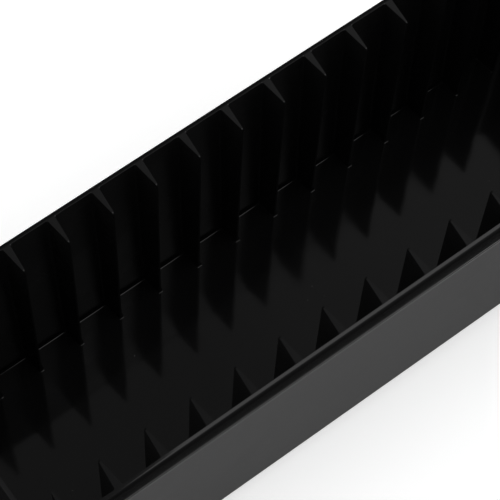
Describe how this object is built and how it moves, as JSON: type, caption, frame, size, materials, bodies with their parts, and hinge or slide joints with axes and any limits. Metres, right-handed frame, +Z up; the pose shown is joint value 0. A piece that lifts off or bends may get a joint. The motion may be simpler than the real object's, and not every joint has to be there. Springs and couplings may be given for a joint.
{
  "type": "card dealing shoe",
  "caption": "Long black ribbed trough on a wedge plinth, with a leaning faceplate, a card mouth at the nose and a rolling weight that pushes the cards to it.",
  "frame": {"origin": "middle of the shoe's bounding box in plan, on the table under the feet", "axes": "+Z up, +Y along the trough towards its rear wall, -Y towards the nose and card mouth, +X across the shoe. The trough's floor and rim climb 4 degrees towards +Y."},
  "size_m": [0.1268, 0.4748, 0.1599],
  "materials": {
    "shell": "black moulded plastic, glossy inside and matt outside",
    "faceplate": "black moulded plastic, glossy",
    "exit_plate": "brushed across the card's path",
    "plinth": "black moulded plastic, fine spark texture",
    "weight_plastic": "black moulded plastic, satin",
    "slug_steel": "sawn and blued bar",
    "axle_steel": "ground",
    "roller_nylon": "natural turned nylon",
    "screws": "bright zinc plate",
    "foot_rubber": "matt"
  },
  "bodies": {
    "shoe_body": {"tub": "shell", "exit_plate": "exit_plate", "faceplate": "faceplate", "face_screw_1": "screws", "face_screw_2": "screws", "face_screw_3": "screws", "face_screw_4": "screws", "exit_screw_1": "screws", "exit_screw_2": "screws", "plinth": "plinth", "plinth_screw_1": "screws", "plinth_screw_2": "screws", "plinth_screw_3": "screws", "plinth_screw_4": "screws", "plinth_screw_5": "screws", "plinth_screw_6": "screws", "foot_front_left": "foot_rubber", "foot_front_right": "foot_rubber", "foot_rear_left": "foot_rubber", "foot_rear_right": "foot_rubber"},
    "weight": {"weight_housing": "weight_plastic", "weight_chassis": "weight_plastic", "chassis_screw_1": "screws", "chassis_screw_2": "screws", "chassis_screw_3": "screws", "chassis_screw_4": "screws", "weight_slug": "slug_steel", "front_axle": "axle_steel", "rear_axle": "axle_steel"},
    "roller_front_left": {"roller_front_left": "roller_nylon"},
    "roller_front_right": {"roller_front_right": "roller_nylon"},
    "roller_rear_left": {"roller_rear_left": "roller_nylon"},
    "roller_rear_right": {"roller_rear_right": "roller_nylon"}
  },
  "joints": [
    {"name": "weight_slide", "type": "slide", "parent": "shoe_body", "child": "weight", "axis": [0, 0.9976, 0.0698], "range_m": [0, 0.3701]},
    {"name": "roller_front_left_spin", "type": "hinge", "parent": "weight", "child": "roller_front_left", "pos_m": [-0.0343, -0.18538, 0.01992], "axis": [1, 0, 0], "continuous": true},
    {"name": "roller_front_right_spin", "type": "hinge", "parent": "weight", "child": "roller_front_right", "pos_m": [0.0343, -0.18538, 0.01992], "axis": [1, 0, 0], "continuous": true},
    {"name": "roller_rear_left_spin", "type": "hinge", "parent": "weight", "child": "roller_rear_left", "pos_m": [-0.0343, -0.15181, 0.02227], "axis": [1, 0, 0], "continuous": true},
    {"name": "roller_rear_right_spin", "type": "hinge", "parent": "weight", "child": "roller_rear_right", "pos_m": [0.0343, -0.15181, 0.02227], "axis": [1, 0, 0], "continuous": true}
  ],
  "couplings": [
    {"joint": "roller_front_left_spin", "follows": "weight_slide", "rad_per_m": -111.11},
    {"joint": "roller_front_right_spin", "follows": "weight_slide", "rad_per_m": -111.11},
    {"joint": "roller_rear_left_spin", "follows": "weight_slide", "rad_per_m": -111.11},
    {"joint": "roller_rear_right_spin", "follows": "weight_slide", "rad_per_m": -111.11}
  ]
}
